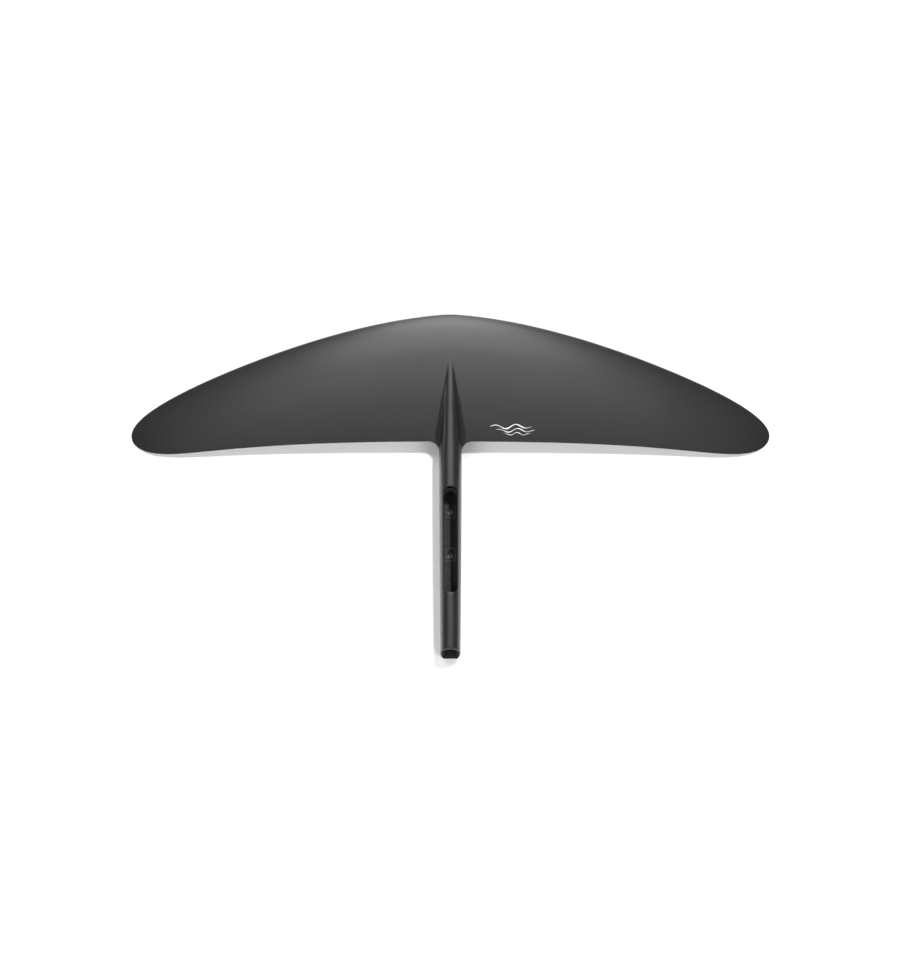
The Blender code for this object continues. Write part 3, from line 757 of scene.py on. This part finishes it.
# ------------------------------------------------------------------ countersunk bushes in the belly
def bush(name, node_name, flange, barrel, bore, top, y, mat):
    low = GROUND_Z + 0.0002
    c = 0.0002
    wide = flange - 0.0006
    profile = [(barrel - c, top), (barrel, top - c), (barrel, low + 0.0014),
               (flange - c, low + 0.0014), (flange, low + 0.0014 - c), (flange, low + c), (flange - c, low),
               (wide + c * 0.4, low), (wide - c * 0.4, low + c * 0.5),
               (bore + c * 0.4, low + (wide - bore) - c * 0.4), (bore, low + (wide - bore) + c),
               (bore, top - c), (bore + c, top)]
    obj = lathe(name, profile, y)
    link(obj, mat, (node_name,))
    if mat is not steel:
        # the seat for the bolt's head is machined bare; the rest of the bush is darkened as painted shade in the pocket
        obj.data.materials.append(steel)
        for face in obj.data.polygons:
            if face.normal.z < -0.3:
                face.material_index = 1


# the mast bushes take the darkened steel, painted shade in the pocket; the tail bushes keep bright steel
for y, where in zip(BOLT_Y, ("front", "rear")):
    bush("mast_bush_" + where, "mast_bolt_bush_" + where, 0.0075, 0.0055, 0.0042, -0.0018, y, shaded_steel)
for y, where in zip(TAIL_BOLT_Y, ("front", "rear")):
    bush("tail_bush_" + where, "tail_bolt_bush_" + where, 0.0060, 0.0044, 0.0032, -0.0036, y, steel)


# ------------------------------------------------------------------ the tail socket's sleeve
def superellipse(half_x, half_z, power, y, zc, count=120):
    pts = []
    for k in range(count):
        c, s = math.cos(2 * math.pi * k / count), math.sin(2 * math.pi * k / count)
        pts.append((half_x * math.copysign(abs(c) ** (2 / power), c), y,
                    zc + half_z * math.copysign(abs(s) ** (2 / power), s)))
    return pts


def build_sleeve():
    end = NOSE_Y - LENGTH + 0.0003
    zc = 0.0094
    loops = []
    for d, back in ((0.0, 0.0700), (0.0, 0.0004), (0.0003, 0.0), (0.0010, 0.0), (0.0013, 0.0001),
                    (0.0015, 0.0006), (0.0015, 0.0350), (0.0015, 0.0700)):
        loops.append(superellipse(0.0105 - d, 0.0144 - d, 2.5, end + back, zc))
    loops = [[(x, y + (TAIL_TILT * (z - GROUND_Z) if y < end + 0.002 else 0.0), z) for x, y, z in loop]
             for loop in loops]
    obj = loop_rings("tail_sleeve", loops, closed=True, angle=32.0)
    bpy.context.scene.collection.objects.link(obj)
    boolean(obj, [cutter_cylinder(0.0047, -0.020, 0.004, y) for y in TAIL_BOLT_Y])
    shaded(obj.data, 32.0)
    bpy.context.scene.collection.objects.unlink(obj)
    # the sleeve takes the darker laminate, painted shade for the hollow end
    return link(obj, shaded_sleeve_laminate, ("tail_socket",))


sleeve = build_sleeve()


# ------------------------------------------------------------------ a plain wave mark on the right wing
def build_mark():
    """Three brushed strokes like small waves, hugging the wing's upper surface."""
    strokes = []
    for k, (x0, x1, aft, amp, width) in enumerate(((0.0520, 0.1080, 0.1600, 0.0030, 0.0016),
                                                   (0.0600, 0.1120, 0.1650, 0.0026, 0.0012),
                                                   (0.0700, 0.1060, 0.1695, 0.0018, 0.0009))):
        n = 90
        t = np.linspace(0, 1, n)
        x = x0 + (x1 - x0) * t
        a = aft - amp * np.sin(2 * math.pi * (2.0 * t + 0.12 * k)) * (0.35 + 0.65 * np.sin(math.pi * t))
        w = width * np.sin(math.pi * np.clip(t, 0.0, 1.0)) ** 0.55 * (0.75 + 0.25 * np.sin(2 * math.pi * (3 * t + 0.3 * k)))
        strokes.append((x, a, np.maximum(w, 0.00012)))
    bm = bmesh.new()
    for x, a, w in strokes:
        dx, da = np.gradient(x), np.gradient(a)
        length = np.hypot(dx, da)
        nx, na = -da / length, dx / length
        rails = []
        for s in (-0.5, -0.25, 0.0, 0.25, 0.5):
            px, pa = x + nx * w * s, a + na * w * s
            z, _ = outer(px, pa, 1)
            rails.append((px, pa, z))
        top = [[bm.verts.new((px[i], NOSE_Y - pa[i], z[i] + 0.00007)) for i in range(len(x))] for px, pa, z in rails]
        low = [[bm.verts.new((px[i], NOSE_Y - pa[i], z[i] + 0.00001)) for i in range(len(x))] for px, pa, z in rails]
        m = len(x)
        for g, rev in ((top, False), (low, True)):
            for r in range(len(g) - 1):
                for i in range(m - 1):
                    f = (g[r][i], g[r][i + 1], g[r + 1][i + 1], g[r + 1][i])
                    bm.faces.new(f[::-1] if rev else f)
        border = [(0, i) for i in range(m)] + [(r, m - 1) for r in range(1, 5)] \
            + [(4, i) for i in range(m - 2, -1, -1)] + [(r, 0) for r in range(3, 0, -1)]
        for (r0, i0), (r1, i1) in zip(border, border[1:] + border[:1]):
            bm.faces.new((top[r0][i0], low[r0][i0], low[r1][i1], top[r1][i1]))
    obj = from_bmesh("wave_mark", bm, 40.0)
    return link(obj, mark_white)


mark = build_mark()


# ------------------------------------------------------------------ floor, light and camera
def build_stage():
    bm = bmesh.new()
    bmesh.ops.create_grid(bm, x_segments=1, y_segments=1, size=20.0,
                          matrix=Matrix.Translation((0.0, 0.0, GROUND_Z - 0.0002)))
    mesh = bpy.data.meshes.new("floor")
    bm.to_mesh(mesh)
    bm.free()
    floor = bpy.data.objects.new("floor", mesh)
    bpy.context.scene.collection.objects.link(floor)
    m, tree, shader = new_material("floor_white")
    shader.inputs["Base Color"].default_value = (0.90, 0.90, 0.90, 1.0)
    shader.inputs["Roughness"].default_value = 0.9
    shader.inputs["Specular IOR Level"].default_value = 0.1
    mesh.materials.append(m)
    floor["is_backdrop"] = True


build_stage()

bpy.context.scene.view_settings.view_transform = "Standard"
bpy.context.scene.view_settings.look = "None"
world = bpy.data.worlds.new("studio")
bpy.context.scene.world = world
world.use_nodes = True
world.node_tree.nodes["Background"].inputs[0].default_value = (1.0, 1.0, 1.0, 1.0)
world.node_tree.nodes["Background"].inputs[1].default_value = 0.12
TARGET = Vector((0.0, 0.15, 0.0))


def area(name, size_x, size_y, radiance, place, glossy=True, diffuse=True):
    data = bpy.data.lights.new(name, "AREA")
    data.shape = "RECTANGLE"
    data.size, data.size_y = size_x, size_y
    data.energy = radiance * math.pi * size_x * size_y
    obj = bpy.data.objects.new(name, data)
    obj.location = place
    obj.rotation_mode = "QUATERNION"
    obj.rotation_quaternion = (Vector(place) - TARGET).to_track_quat("Z", "Y")
    obj.visible_glossy = glossy
    obj.visible_diffuse = diffuse
    bpy.context.scene.collection.objects.link(obj)


def polar(azimuth, elevation, distance):
    """A place seen from the target; azimuth 0 is ahead of the nose, 90 to the right."""
    az, el = math.radians(azimuth), math.radians(elevation)
    return TARGET + Vector((math.sin(az) * math.cos(el), math.cos(az) * math.cos(el), math.sin(el))) * distance


# the key gives the short shadow and reaches into the pocket, and the corner fills lift the floor
key_way = Vector((0.36, 0.44, 1.0)).normalized()
area("key", 0.55, 0.55, 300.0, TARGET + key_way * 6.5, glossy=False)
for name, azimuth, strength in (("fill_rear_left", -140.0, 5.8), ("fill_rear_right", 140.0, 5.8),
                                ("fill_front_left", -48.0, 4.4), ("fill_front_right", 48.0, 4.4)):
    area(name, 1.8, 1.8, strength, polar(azimuth, 38.0, 3.4), glossy=False)
# a bank of soft boxes, brighter towards the front, draws the sheen on the laminate
for k, (elevation, width, radiance) in enumerate(((18.0, 0.8, 3.6), (36.0, 0.85, 5.9), (54.0, 1.15, 3.8),
                                                  (72.0, 1.5, 1.75), (90.0, 1.7, 0.85))):
    area("soft_box_%d" % k, width, 0.73, radiance, polar(0.0, elevation, 2.3), diffuse=False)
area("soft_box_left", 0.5, 0.55, 2.4, polar(-66.0, 10.0, 2.3), diffuse=False)
# and weaker ones stand behind and beside the part, for its other sides
area("soft_box_rear", 1.6, 1.1, 1.5, polar(180.0, 36.0, 2.6), diffuse=False)
for name, azimuth in (("soft_box_port", -103.0), ("soft_box_starboard", 103.0)):
    area(name, 0.9, 0.9, 0.9, polar(azimuth, 24.0, 2.6), diffuse=False)

camera_data = bpy.data.cameras.new("camera")
camera = bpy.data.objects.new("camera", camera_data)
bpy.context.scene.collection.objects.link(camera)
bpy.context.scene.camera = camera
LENS = 120.0
MM_PER_PX = 1.3190
AZIMUTH, ELEVATION = 0.0, 71.0
camera_data.sensor_width = 36.0
camera_data.lens = LENS
camera_data.dof.use_dof = False
AIM = Vector((-0.0006, 0.0855, 0.0120))
distance = 962 * MM_PER_PX / 1000.0 * LENS / 36.0
az, el = math.radians(AZIMUTH), math.radians(ELEVATION)
back = Vector((math.sin(az) * math.cos(el), -math.cos(az) * math.cos(el), math.sin(el)))
camera.location = AIM + back * distance
camera.rotation_mode = "QUATERNION"
camera.rotation_quaternion = back.to_track_quat("Z", "Y")
camera_data.clip_start, camera_data.clip_end = 0.05, 50.0
